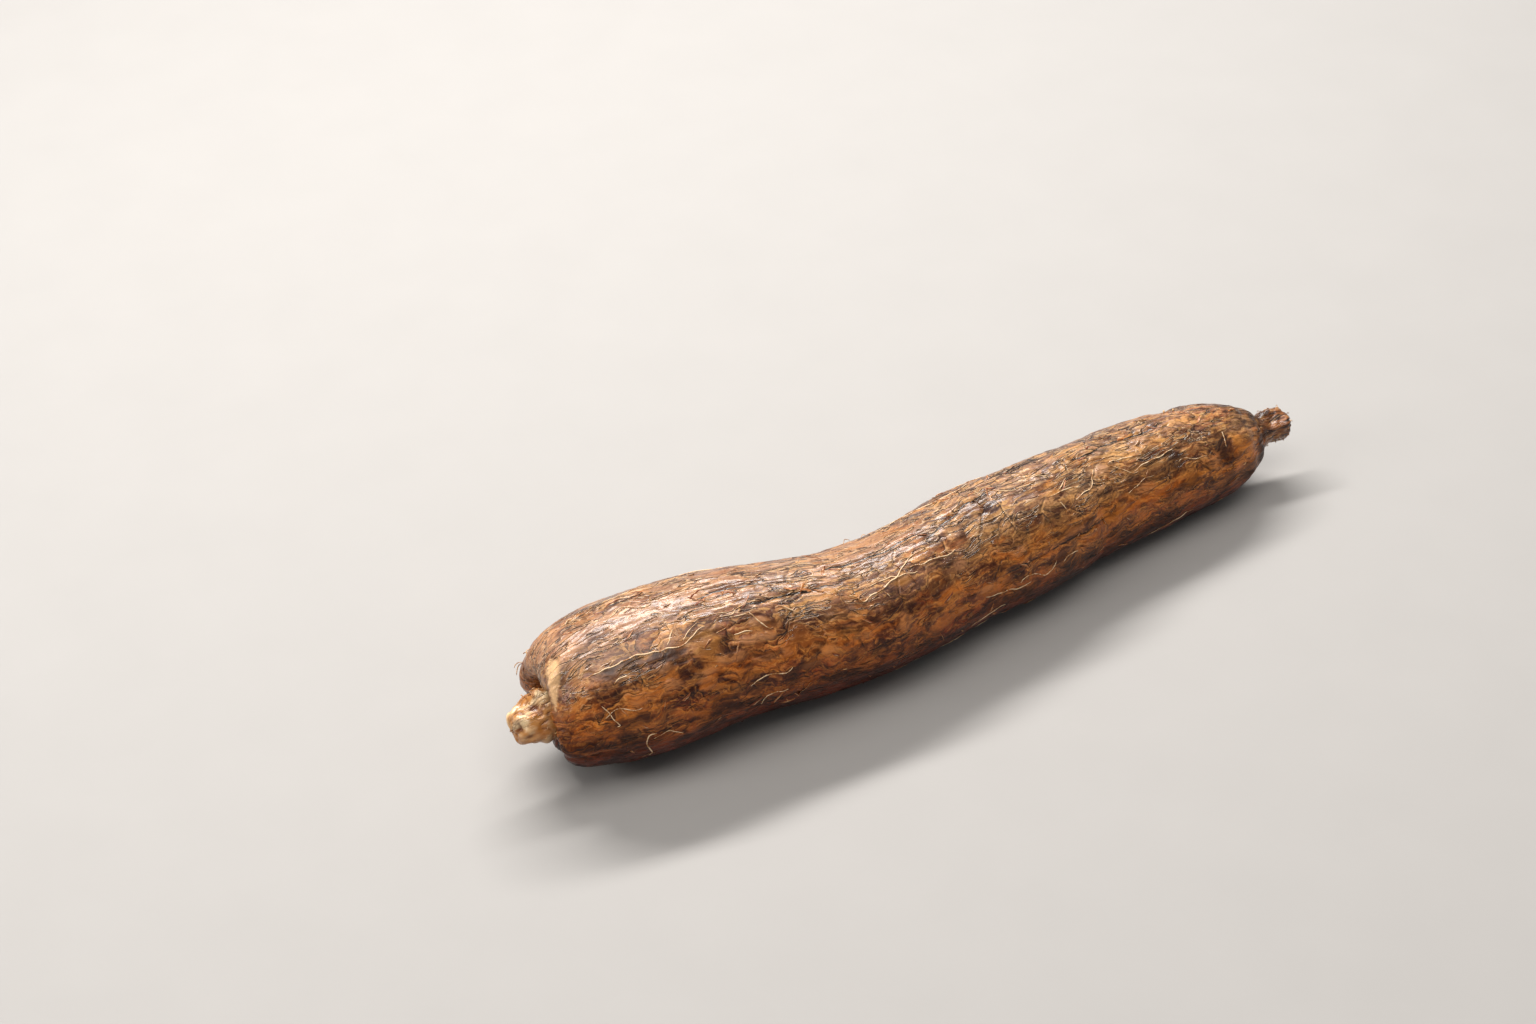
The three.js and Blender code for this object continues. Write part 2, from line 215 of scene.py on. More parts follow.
station = stations[:, None]
row_x = at_station(station, 0)
row_radius = at_station(station, 1)
along_x = np.gradient(row_x[:, 0])[:, None]
along_r = np.gradient(row_radius[:, 0])[:, None]
step = np.hypot(along_x, along_r)
out_x, out_r = -along_r / step, along_x / step
s = np.interp(stations, row_stations, row_lengths)[:, None]
angle = (360 * np.arange(AROUND) / AROUND)[None, :]
stub = 1 - smoothstep(station, *STUB_TO_PIT)
tail = smoothstep(station, *BODY_TO_TAIL)
body = (1 - stub) * (1 - tail)

# The forms that the solid has too.
wander = WANDER * (noise(40, 6, 5) - 0.5)
plate = PLATES * noise(30, 14, 11, wander)
plate_edge = smoothstep(plate % 1, 0.3, 0.7)
rise = body * SWELL * (2 * noise(58, 5, 3) - 1)
rise = rise + body * PLATE_STEP * (np.floor(plate) + plate_edge - PLATES / 2)
rise = rise + body * LUMP * (lumps(17, 25, 23, wander) - LUMP_MIDDLE)
crack_shade = np.zeros_like(rise)
on_body = body * (station > SHOULDER_END)
for x0, x1, angle0, angle1, depth in CRACKS:
    across_at = angle0 + (angle1 - angle0) * np.clip((row_x - x0) / (x1 - x0), 0, 1)
    across = distance_round(across_at, angle, row_radius)
    fade = smoothstep(row_x, x0 - CRACK_END, x0 + CRACK_END)
    fade = fade * (1 - smoothstep(row_x, x1 - CRACK_END, x1 + CRACK_END))
    across = across + CRACK_SWAY * (noise(7, 9, 43) - 0.5) + CRACK_SHAKE * (noise(2.5, 9, 44) - 0.5)
    groove = bump(across, CRACK_WIDTH)
    lip = CRACK_LIP * bump(across + CRACK_LIP_AWAY, 2 * CRACK_WIDTH)
    rise = rise + on_body * fade * CRACK_DEPTH * depth * (lip - groove)
    crack_shade = np.maximum(crack_shade, on_body * fade * bump(across, CRACK_SHADE))
for x, at, spread, depth, width in RINGS:
    rise = rise - on_body * (depth * bump(row_x - x, width) * bump(turn_from(at, angle), spread))
for x, at, height, length, spread in REST_SPOTS:
    rise = rise + on_body * (height * bump(row_x - x, length) * bump(turn_from(at, angle), spread))
for r0, r1, angle0, angle1, height, width in SHOULDER_FORMS:
    across_at = angle0 + (angle1 - angle0) * np.clip((row_radius - r0) / (r1 - r0), 0, 1)
    across = distance_round(across_at, angle, row_radius)
    past = np.maximum(np.maximum(row_radius - max(r0, r1), min(r0, r1) - row_radius), 0)
    on_shoulder = smoothstep(station, *PIT_TO_SHOULDER) * (station <= SHOULDER_END)
    rise = rise + on_shoulder * height * bump(across, width) * bump(past, width)
knobs = np.zeros_like(rise)
for x, at, height, size in KNOBS:
    away = np.hypot(row_x - x, distance_round(at, angle, row_radius))
    knobs = knobs + height * bump(away, size)
rise = rise + (stub + tail) * knobs
rise = rise + stub * STUB_LUMPS * (noise(6, 6, 31) - 0.5)
rise = rise + tail * TAIL_LUMPS * (noise(5, 8, 47) - 0.5)

# Finer bark: thin flakes that overlap like shingles, lengthwise wrinkles, and ragged stubs.
flake = FLAKES * noise(26, 22, 61, wander) + SMALL_FLAKES * noise(9, 58, 62, wander)
rise = rise + body * FLAKE_LIFT * (flake % 1 - 0.5)
rise = rise + body * WRINKLE * (lumps(9, 84, 67, wander) - LUMP_MIDDLE)
ragged = lumps(3.2, 16, 71, RAGGED_TWIST * noise(5, 9, 73))
rise = rise + (STUB_RAGGED * stub + TAIL_RAGGED * tail) * (ragged - LUMP_MIDDLE)

oval = sum(k * np.cos(sides * np.radians(angle - at - turn * row_x)) for sides, k, at, turn in LOBES)
away = np.abs(turn_from(CUT_BACK["angle"], angle))
cut = CUT_BACK["by"] * (1 - stub) * (1 - smoothstep(row_x, *CUT_BACK["along"]))
cut = cut * (1 - smoothstep(away, CUT_BACK["full"], CUT_BACK["none"]))
radius = np.maximum(row_radius * (1 + oval) + rise * out_r, 0)
skin = np.stack([
    row_x + rise * out_x + cut + SHIFT[0],
    middle_at(row_x, 1) - radius * np.sin(np.radians(angle)) + SHIFT[1],
    np.maximum(middle_at(row_x, 2) + radius * np.cos(np.radians(angle)), 0),
], axis=2) * MM


def add_mesh(name, points, faces):
    """Adds a smooth mesh to the scene."""
    mesh = bpy.data.meshes.new(name)
    mesh.from_pydata(points, [], faces)
    mesh.update()
    mesh.polygons.foreach_set("use_smooth", [True] * len(mesh.polygons))
    made = bpy.data.objects.new(name, mesh)
    bpy.context.scene.collection.objects.link(made)
    return made


rings = skin[1:-1]
count = len(rings)
tips = skin[0].mean(axis=0), skin[-1].mean(axis=0)
points = np.concatenate([[tips[0]], rings.reshape(-1, 3), [tips[1]]])
i, j = np.meshgrid(np.arange(count - 1), np.arange(AROUND), indexing="ij")
right = (j + 1) % AROUND
corners = [i * AROUND + j, i * AROUND + right, (i + 1) * AROUND + right, (i + 1) * AROUND + j]
faces = (np.stack(corners, axis=2).reshape(-1, 4) + 1).tolist()
last = len(points) - 1
for n in range(AROUND):
    following = (n + 1) % AROUND
    faces.append((0, 1 + following, 1 + n))
    faces.append((last, last - AROUND + n, last - AROUND + following))
root = add_mesh("root_skin", points.tolist(), faces)


def paint(made, name, values):
    """Writes one number or one vector a point, with the rings' values given as a grid."""
    kind = "FLOAT_VECTOR" if values.ndim == 3 else "FLOAT"
    flat = values[1:-1].reshape(-1, *values.shape[2:])
    flat = np.concatenate([values[0].mean(axis=0)[None], flat, values[-1].mean(axis=0)[None]])
    layer = made.data.attributes.new(name, kind, "POINT")
    layer.data.foreach_set("vector" if values.ndim == 3 else "value", flat.astype(np.float32).ravel())


# The grain runs along the skin: out of the pit, over the shoulder and along the body.
grain_radius = 12 + 0.55 * row_radius
grain = np.stack([
    s + 0 * angle,
    grain_radius * np.cos(np.radians(angle)),
    grain_radius * np.sin(np.radians(angle)),
], axis=2) * MM
paint(root, "grain", grain)

# Patches of the bark: how ragged their edges are, then (x, angle, half length, half width) of each.
PATCHES = {
    # Grey-brown film of dried soil
    "film": (0.5, [
        (-12, 26, 38, 26), (-30, 56, 18, 16), (14, 58, 30, 12), (44, 34, 34, 22), (104, 14, 24, 14),
        (30, -20, 40, 20), (-150, 24, 22, 16), (100, -40, 30, 24), (-60, -120, 40, 26),
        (60, 150, 40, 20), (10, -100, 30, 20),
    ]),
    # Dull fibrous cork
    "khaki": (0.5, [
        (100, 52, 44, 26), (90, 92, 50, 16), (164, 62, 8, 24), (40, 52, 26, 12), (20, 40, 20, 10),
        (80, 28, 22, 12), (118, 60, 26, 12), (-10, 60, 14, 8), (-60, 60, 14, 10),
        (120, 100, 16, 8), (40, 100, 20, 10), (-80, -80, 30, 16), (60, -90, 40, 14),
    ]),
    "golden": (0.5, [
        (-150, 118, 26, 14), (-90, 104, 30, 9), (-30, 112, 30, 9), (112, 24, 30, 9),
        (-172, -50, 9, 14), (-172, 90, 7, 18), (-80, 160, 50, 20), (50, -160, 50, 20),
        (-120, -100, 30, 14),
    ]),
    "orange": (0.5, [
        (150, 2, 13, 10), (-128, 84, 12, 5), (-70, 84, 12, 5), (-4, 92, 12, 5), (-100, 40, 8, 6),
        (-20, 62, 5, 6), (-60, 176, 20, 8),
    ]),
    # Smooth inner bark, where the outer cork has gone
    "amber": (0.35, [
        (-117, 41, 7, 6), (-121, 87, 12, 4), (-104, 71, 5, 3), (-18, 88, 7, 3), (-4, 84, 5, 2.5),
        (-27, 36, 5, 2.5), (158, 47, 3, 4), (130, 69, 4, 3), (158, 76, 2, 5), (-153, 79, 8, 4),
        (-163, 88, 6, 3), (-58, 80, 7, 3), (84, 70, 9, 4), (16, 80, 10, 4), (-150, -70, 12, 7),
        (20, -110, 14, 7), (130, 130, 14, 7),
    ]),
    # Pale folds, where a strip of the cork stands up
    "fold": (0.4, [
        (-107, 56, 7, 2.5), (-121, 61, 5, 1.3), (-121, 66, 5, 1.3), (-121, 72, 5, 1.3), (-135, 61, 4, 2),
        (-93, 65, 4, 1.5), (-85, 64, 2.5, 2), (-98, 65, 3, 1.2), (-137, 48, 4, 1.6), (-98, 49, 6, 2),
        (-92, 50, 6, 1.8), (-92, 38, 4, 2), (-49, 68, 2, 1.5), (1, 48, 3, 2), (10, 78, 5, 2),
        (143, 61, 4, 3), (-32, 66, 3, 5), (112, 10, 5, 2), (86, 25, 4, 2), (-67, 71, 4, 2),
        (-76, 79, 5, 2), (-149, 64, 4, 2), (30, 60, 5, 2), (60, 66, 6, 2), (104, 60, 5, 2),
        (-100, -60, 7, 3), (-30, -80, 6, 3), (70, -60, 7, 3), (120, -90, 6, 3), (-140, -110, 7, 3),
        (0, 160, 7, 3),
    ]),
    # Scars of side roots and damp stains
    "dark": (0.7, [
        (150, 52, 5, 9), (124, 41, 5, 4), (-6, 39, 5, 2.5), (-33, 42, 3, 2), (-12, 80, 3, 1.5),
        (-53, 45, 2, 2), (-115, 66, 2.5, 1.5), (-106, 52, 5, 1.5), (-107, 43, 2, 1.5), (-140, 70, 6, 1.2),
        (-129, 73, 6, 1), (-132, 43, 3.5, 2), (-102, 66, 4, 1), (-126, 86, 2, 1.5), (-78, 58, 3, 1.5),
        (97, 45, 4, 2), (50, 47, 5, 2), (-60, 58, 5, 2.5), (-161, 92, 9, 3), (-150, 38, 9, 3),
        (166, -24, 6, 16), (175, 60, 3.5, 24), (-130, -60, 9, 6), (-20, -130, 10, 6), (90, 150, 9, 6),
        (-175, 150, 5, 16),
    ]),
    # Rubbed smooth along the top of the shoulder
    "rubbed": (0.6, [
        (-164, -18, 16, 30), (-152, 4, 12, 16), (-108, -6, 46, 14), (-30, -8, 30, 10),
    ]),
}
FILM_STARTS = (-47, -45.5)  # the film on the body starts in a line
SHOULDER_FILM_ENDS = -60
# A tongue of bare bast narrows to a tip as it runs down the shoulder: radius and half width by angle
TONGUE_AT = [0, 20, 28, 37, 46], [25.0, 23.2, 21.8, 20.0, 18.5]
TONGUE_HALF = [0, 8, 20, 28, 37, 47], [0.3, 2.1, 2.5, 1.9, 1.3, 0.3]
TONGUE_MIDDLE, TONGUE_REACH, TONGUE_END = 24, 26, -165
PAST_PIT = 7  # the station where the shoulder starts
TOP_MIDDLE, TOP_WIDTH = -5, 42
COLLAR = 24.6


def patches(wobble, spots):
    """How much of a patch lies at each point."""
    uneven = wobble * (noise(9, 26, 83) + noise(4, 60, 89) - 1)
    most = np.zeros_like(rise)
    for x, at, length, width in spots:
        away = np.hypot((row_x - x) / length, distance_round(at, angle, row_radius) / width)
        most = np.maximum(most, 1 - smoothstep(away + uneven, 0.6, 1.25))
    return most * body


masks = {name: patches(*patch) for name, patch in PATCHES.items()}
film_edge = smoothstep(row_x + 2 * (noise(9, 60, 97) - 0.5), *FILM_STARTS)
masks["film"] = masks["film"] * np.where(row_x > SHOULDER_FILM_ENDS, film_edge, 1)
masks["fold"] = masks["fold"] * (1 - masks["dark"])
masks["amber"] = masks["amber"] * (1 - masks["dark"])
tongue = np.abs(row_radius - np.interp(angle, *TONGUE_AT)) / np.interp(angle, *TONGUE_HALF)
tongue = 1 - smoothstep(tongue + 0.35 * (noise(4, 60, 89) + noise(9, 26, 83) - 1), 0.6, 1.2)
on_rim = body * (row_x < TONGUE_END) * (station > PAST_PIT)
front = turn_from(0, angle)
masks.update({
    # Bare bast on the shoulder
    "tongue": tongue * on_rim * (np.abs(angle - TONGUE_MIDDLE) < TONGUE_REACH),
    # Where the bark faces up (its pale coat is partly a painted highlight), to the sides, and down (its
    # darkening is painted shade)
    "top": bump(turn_from(TOP_MIDDLE, angle), TOP_WIDTH) * (1 - 0.5 * smoothstep(row_x, 90, 150)),
    "sides": body * (smoothstep(front, 22, 75) + 0.4 * smoothstep(-front, 22, 75)),
    "under": 0.9 * body * (smoothstep(front, 74, 122) + 0.4 * smoothstep(-front, 20, 70)
                           + 0.6 * smoothstep(-front, 115, 155)),
    # A dark ring where the tail stub leaves the body
    "collar": bump(station - COLLAR, 0.8) * (0.6 + 0.4 * np.cos(np.radians(angle + 40))),
    # Painted shade along the long cracks' grooves
    "crack_shade": crack_shade,
    "flake": flake,
    # The two stubs, painted shade in their hollows, and painted shade on the sides and underside of them
    "stub": stub + 0 * angle,
    "tail": tail + 0 * angle,
    "hollow": np.maximum(smoothstep(-knobs, 0.15, 1.1), 0.8 * smoothstep(-ragged, -0.45, -0.15)),
    "under_stub": smoothstep(np.abs(front), 40, 120) + 0 * s,
})
for name, values in masks.items():
    paint(root, name, values)


def colour(text):
    """A linear colour from an sRGB hex value."""
    parts = [int(text[n:n + 2], 16) / 255 for n in (1, 3, 5)]
    linear = [c / 12.92 if c <= 0.04045 else ((c + 0.055) / 1.055) ** 2.4 for c in parts]
    return (*linear, 1.0)


def add(tree, kind, inputs=None, out=0, **settings):
    """Adds a node with its settings, links or sets its inputs, and gives back one of its outputs."""
    made = tree.nodes.new("ShaderNode" + kind)
    for name, value in settings.items():
        setattr(made, name, value)
    for socket, value in (inputs or {}).items():
        if isinstance(value, bpy.types.NodeSocket):
            tree.links.new(value, made.inputs[socket])
        else:
            made.inputs[socket].default_value = value
    return made.outputs[out]


def new_material(piece, name):
    """Gives a piece a new material, and gives back its node tree with nothing in it but the output."""
    made = bpy.data.materials.new(name)
    made.use_nodes = True
    made.node_tree.nodes.remove(made.node_tree.nodes["Principled BSDF"])
    piece.data.materials.append(made)
    return made.node_tree


def patterned(tree, rows):
    """Patterns of noise by name: (name, where, size in mm, times longer, detail, roughness)."""
    drawn = {}
    for name, where, size, longer, detail, rough in rows:
        stretched = add(tree, "VectorMath", {0: where, 1: (1 / longer, 1, 1)}, operation="MULTIPLY")
        settings = {"Vector": stretched, "Scale": 1 / (size * MM), "Detail": detail, "Roughness": rough}
        drawn[name] = add(tree, "TexNoise", settings)
    return drawn


def share_of(tree, drawn, parts):
    """The product of some parts.

    A part is a number, the name of a pattern, or (pattern, start, end, share at the start, share
    at the end), which runs smoothly from one share to the other.
    """
    product = None
    for part in parts:
        if isinstance(part, tuple):
            values = dict(enumerate([drawn[part[0]], *part[1:]]))
            part = add(tree, "MapRange", values, interpolation_type="SMOOTHSTEP")
        elif isinstance(part, str):
            part = drawn[part]
        if product is None:
            product = part
        else:
            product = add(tree, "Math", {0: product, 1: part}, operation="MULTIPLY")
    return product


def lay(tree, base, drawn, coats):
    """Lays coats over a base colour, the last on top: (colour, then the parts of its share)."""
    for shade, *parts in coats:
        over = colour(shade) if isinstance(shade, str) else shade
        share = share_of(tree, drawn, parts)
        base = add(tree, "Mix", {0: share, 6: base, 7: over}, 2, data_type="RGBA")
    return base


def moved(tree, where, by, size, seed):
    """The grain pushed about by some mm over a size in mm, so that nothing runs dead straight."""
    shifted = add(tree, "VectorMath", {0: where, 1: (seed, seed, seed)}, operation="ADD")
    swirl = add(tree, "TexNoise", {"Vector": shifted, "Scale": 1 / (size * MM)}, "Color")
    off = add(tree, "VectorMath", {0: swirl, 1: (0.5, 0.5, 0.5)}, operation="SUBTRACT")
    off = add(tree, "VectorMath", {0: off, "Scale": by * MM}, operation="SCALE")
    return add(tree, "VectorMath", {0: where, 1: off}, operation="ADD")


def flaked(tree, name, where, size, longer):
    """Flakes of a size in mm: three random numbers each, the way to its edge, and a slope across it."""
    per_flake = (1 / (longer * size * MM), 1 / (size * MM), 1 / (size * MM))
    cells = {"Vector": add(tree, "VectorMath", {0: where, 1: per_flake}, operation="MULTIPLY"),
             "Scale": 1.0, "Randomness": 1.0}
    number = add(tree, "TexVoronoi", cells, "Color")
    drawn = {f"{name}_{letter}": add(tree, "SeparateColor", {0: number}, n) for n, letter in enumerate("abc")}
    drawn[name + "_edge"] = add(tree, "TexVoronoi", cells, feature="DISTANCE_TO_EDGE")
    off = add(tree, "VectorMath", {0: cells["Vector"], 1: add(tree, "TexVoronoi", cells, "Position")},
              operation="SUBTRACT")
    drawn[name + "_slope"] = add(tree, "VectorMath", {0: off, 1: (-0.5, 0.6, 0.6)}, "Value",
                                 operation="DOT_PRODUCT")
    return drawn


# Corky bark with a thin coat of wax and soil film: half-gloss, so a broad light gives broad soft
# highlights that the cracks and plates break up.
tree = new_material(root, "corky_waxed_bark")
grain_at = add(tree, "Attribute", out="Vector", attribute_name="grain")
on = {name: add(tree, "Attribute", out="Fac", attribute_name=name) for name in masks}
straighter = add(tree, "Math", {0: on["top"], 1: 0.85}, operation="MULTIPLY")
drift = moved(tree, grain_at, 13, 34, 0.3)
swirled = moved(tree, drift, 10, 12, 0.7)
curl = add(tree, "Mix", {0: straighter, 4: swirled, 5: drift}, 1, data_type="VECTOR")
fibre = moved(tree, curl, 1.5, 3.0, 0.9)
# Flakes 12 and 4.6 mm wide, and noise of several sizes
on.update(flaked(tree, "big", curl, 12, 2.0))
on.update(flaked(tree, "small", fibre, 4.6, 2.8))
on.update(patterned(tree, [
    ("tint", drift, 22, 1.6, 2.5, 0.5),
    ("mottle", curl, 9, 2, 4, 0.65),
    ("fine_mottle", fibre, 3, 2, 3, 0.6),
    ("marbled", swirled, 13, 1.7, 3, 0.55),
    ("blotch", curl, 6.5, 1.7, 2, 0.5),
    ("threads", fibre, 1.5, 6, 2, 0.55),
    ("strokes", fibre, 3.4, 5, 2, 0.5),
    ("broken", drift, 11, 2, 3, 0.5),
    ("small_broken", curl, 8, 3, 3, 0.5),
    ("veins", moved(tree, drift, 2.4, 8, 0.5), 4.4, 8, 2, 0.5),
    ("gaps", drift, 8, 1.8, 2, 0.5),
    ("speck", grain_at, 0.9, 1, 2, 0.5),
    ("heartwood", drift, 9, 1, 2, 0.5),
    ("wood_stain", grain_at, 7, 1, 2, 0.5),
    ("wood_fleck", grain_at, 2.2, 1, 2, 0.5),
    ("shreds", drift, 4, 2, 3, 0.5),
]))

# Lines: the edges of the flakes here and there, and short cracks along the grain, fewer on top.
five_veins = add(tree, "Math", {0: on["veins"], 1: 5.0}, operation="MULTIPLY")
on["veins"] = add(tree, "Math", {0: five_veins, 1: 0.5}, operation="PINGPONG")
on["gaps"] = add(tree, "Math", {0: on["top"], 1: 0.19, 2: on["gaps"]}, operation="MULTIPLY_ADD")
on["lifted"] = add(tree, "Math", {0: on["flake"]}, operation="FRACT")
for name, *parts in (
    ("big_line", ("big_edge", 0.01, 0.05, 1, 0), ("broken", 0.44, 0.52, 0, 1)),
    ("small_line", ("small_edge", 0.02, 0.09, 1, 0), ("small_broken", 0.5, 0.58, 0, 1)),
    ("cut_line", ("veins", 0.025, 0.085, 1, 0), ("gaps", 0.56, 0.62, 0, 1)),
    ("cut_lip", ("veins", 0.09, 0.14, 0, 1), ("veins", 0.15, 0.22, 1, 0), ("gaps", 0.56, 0.62, 0, 1)),
):
    on[name] = share_of(tree, on, parts)

base = lay(tree, colour("#6E3210"), on, [
    # Flakes: large ones each with their own brown, and small ones over them
    ("#A8652A", ("tint", 0.42, 0.56, 0, 1)),
    ("#B48250", ("big_a", 0.5, 0.6, 0, 0.75)),
    ("#451B0A", ("big_b", 0.5, 0.6, 0, 0.85)),
    ("#8E5A42", ("big_c", 0.6, 0.7, 0, 0.65)),
    # Painted shade on the low side of each large flake and a painted highlight on its raised side
    ("#34150A", ("big_slope", -0.45, 0.0, 0.5, 0)),
    ("#CC8F51", ("big_slope", 0.1, 0.5, 0, 0.4)),
    ("#C48A4C", ("small_a", 0.55, 0.75, 0, 0.5)),
    ("#441C0A", ("small_b", 0.55, 0.75, 0, 0.45)),
    ("#B0641E", ("small_c", 0.75, 0.95, 0, 0.4)),
    # Painted shade on the low side of each small flake and a painted highlight on its raised side
    ("#3A1606", ("small_slope", -0.4, -0.02, 0.35, 0)),
    ("#C68F60", ("small_slope", 0.06, 0.42, 0, 0.4)),
    # Regions: dark and pale marbling, soil film, khaki fibre, golden and orange bark
    ("#3A1507", ("marbled", 0.53, 0.62, 0, 0.66)),
    ("#C0803C", ("marbled", 0.38, 0.47, 0.6, 0)),
    ("#795643", "film", ("mottle", 0.38, 0.5, 0, 0.72)),
    ("#A67E50", "khaki", ("mottle", 0.4, 0.52, 0, 0.75)),
    ("#B07224", "golden", ("mottle", 0.42, 0.54, 0, 0.65)),
    ("#A05012", "orange", ("mottle", 0.4, 0.52, 0, 0.75)),
    # The top is painted pale and pinkish, partly as scuffing and partly as a painted broad highlight, less
    # where the film lies
    ("#AE8C76", "top", ("film", 0, 1, 1, 0.5), ("mottle", 0.36, 0.54, 0, 0.6)),
    # Soil stains, some dark and some washed pale
    ("#3C190A", ("blotch", 0.53, 0.62, 0, 0.52)),
    ("#CB9866", ("blotch", 0.37, 0.45, 0.45, 0)),
    # Fibres: each flake is a felt of fine threads that follow the grain as it swirls
    ("#3A1606", ("threads", 0.34, 0.48, 0.6, 0)),
    ("#DCAC72", ("threads", 0.56, 0.66, 0, 0.55)),
    ("#481D0A", ("strokes", 0.36, 0.47, 0.55, 0)),
    ("#D29C5C", ("strokes", 0.56, 0.66, 0, 0.45)),
    # A painted shadow line along a flake's edge on its buried side, and a painted highlight along it on the
    # lifted side
    ("#241006", "big_line", ("big_slope", -0.1, 0.05, 0.6, 0)),
    ("#D8A768", "big_line", ("big_slope", 0.0, 0.15, 0, 0.3)),
    ("#241006", "small_line", ("small_slope", -0.1, 0.05, 0.6, 0)),
    ("#D8A768", "small_line", ("small_slope", 0.0, 0.15, 0, 0.3)),
    ("#AC7E5C", "rubbed", ("strokes", 0.36, 0.52, 0.15, 0.6)),
    # Short dark cracks with pale lips, then painted shade and painted highlights at the steps between flakes,
    # and painted shade in the long cracks
    ("#D0B089", "cut_lip", 0.5),
    ("#2A1208", "cut_line", 0.72),
    # Painted shade at the foot of each flake step and a painted highlight on its raised edge
    ("#2A1208", ("lifted", 0.0, 0.14, 0.4, 0)),
    ("#CDA06C", ("lifted", 0.86, 1.0, 0, 0.3)),
    # Painted shade in the grooves of the long cracks
    ("#150904", ("crack_shade", 0.3, 0.7, 0, 0.92)),
    ("#3A1A0A", ("speck", 0.33, 0.45, 0.35, 0)),
    ("#CCAC89", ("speck", 0.6, 0.7, 0, 0.25)),
    # Smooth amber inner bark, pale folds, and the scars of side roots
    ("#B07C3E", "amber", ("strokes", 0.4, 0.54, 0.15, 0.65)),
    ("#C29470", "fold", ("threads", 0.34, 0.5, 0.3, 0.75)),
    ("#30160A", "dark", ("fine_mottle", 0.35, 0.6, 0.36, 0.76)),
    # The sides are marked dark and pale by damp soil, unevenly
    ("#2C1106", "sides", ("mottle", 0.5, 0.6, 0, 0.5)),
    ("#C4864A", "sides", ("mottle", 0.38, 0.48, 0.5, 0)),
])
# The sides are tinted warmer, the front more than the back. The underside, and more faintly the back, are
# darkened and reddened as painted shade. Damp wax deepens the darks and lets the dry fibres stand out.
for name, shade in (("sides", "#FFDCAC"), ("under", "#8A4A1E")):
    tinted = {0: on[name], 6: base, 7: colour(shade)}
    base = add(tree, "Mix", tinted, 2, data_type="RGBA", blend_type="MULTIPLY")
base = add(tree, "Gamma", {0: base, 1: 1.18})
gained = {0: 1.0, 6: base, 7: (1.2, 1.3, 1.42, 1.0)}
base = add(tree, "Mix", gained, 2, data_type="RGBA", blend_type="MULTIPLY")

# The broken neck stub is pale flesh and fibre, and the tail stub keeps dark torn bark.
wood = lay(tree, colour("#C08546"), on, [
    ("#F3D4A4", ("heartwood", 0.4, 0.6, 0, 1)),
    ("#A8641E", ("wood_stain", 0.5, 0.66, 0, 0.6)),
    ("#7A3A14", ("wood_fleck", 0.58, 0.7, 0, 0.4)),
    ("#8A4A1C", ("threads", 0.3, 0.42, 0.3, 0)),
    # Painted shade in the stubs' hollows and on the stub's sides and underside
    ("#6E3A16", "hollow"),
    ("#9A6028", "under_stub", 0.7),
])
torn = lay(tree, colour("#341608"), on, [
    ("#8A5226", ("shreds", 0.42, 0.54, 0, 1)),
    ("#C8965C", ("threads", 0.54, 0.66, 0, 0.45)),
    ("#2A140A", ("threads", 0.34, 0.46, 0.6, 0)),
])
base = lay(tree, base, on, [
    ("#EEC08C", "tongue", ("strokes", 0.3, 0.5, 0.65, 0.97)),
    (wood, "stub"),
    (torn, "tail"),
    ("#2E150A", "collar", ("fine_mottle", 0.3, 0.5, 0.4, 0.95)),
])

# Relief in mm: each flake slopes up to its lifted edge, and the cracks cut in.
BROAD_RELIEF = {"big_slope": 0.26, "mottle": 0.3}
FINE_RELIEF = {
    "small_slope": 0.07, "threads": 0.15, "fine_mottle": 0.1, "strokes": 0.16, "speck": 0.03,
    "fold": 0.35, "cut_line": -0.5, "cut_lip": 0.12, "big_line": -0.12, "small_line": -0.06,
}
height = 0.0
for name, mm in BROAD_RELIEF.items():
    height = add(tree, "Math", {0: on[name], 1: mm, 2: height}, operation="MULTIPLY_ADD")
flatter = add(tree, "Math", {0: on["top"], 1: -0.55, 2: 1.0}, operation="MULTIPLY_ADD")
height = add(tree, "Math", {0: height, 1: flatter}, operation="MULTIPLY")
for name, mm in FINE_RELIEF.items():
    height = add(tree, "Math", {0: on[name], 1: mm, 2: height}, operation="MULTIPLY_ADD")
flatter = add(tree, "Math", {0: on["stub"], 1: -0.3, 2: 1.0}, operation="MULTIPLY_ADD")
height = add(tree, "Math", {0: height, 1: flatter}, operation="MULTIPLY")
relief = add(tree, "Bump", {"Height": height, "Strength": 1.0, "Distance": 1.0 * MM})
# The wax is worn off the sides.
shader = add(tree, "BsdfPrincipled", {
    "Base Color": base,
    "Roughness": share_of(tree, on, [("mottle", 0.35, 0.65, 0.3, 0.46)]),
    "IOR": 1.35,
    "Specular IOR Level": share_of(tree, on, [("sides", 0, 1, 0.5, 0.34)]),
    "Normal": relief,
    "Coat Weight": share_of(tree, on, [("sides", 0, 1, 0.6, 0.14)]),
    "Coat Roughness": 0.27,
    "Coat Normal": relief,
})
tree.links.new(shader, tree.nodes["Material Output"].inputs["Surface"])
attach(root, "root")
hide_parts("cassava_root")

# ---- Rootlets ----
# Hair-thin side roots, long dead and dried to pale cream threads. Most broke off when the root was
# pulled up and washed, and what is left lies flat on the bark along the grain.
ROOTLET_SIDES = 6
ROOTLET_STEP = 0.7
SHORT_ROOTLETS = 34
ROOTLET_RISE = 0.3  # its middle is above the bark by this share of its thickness
ABOVE_FLOOR = 0.02
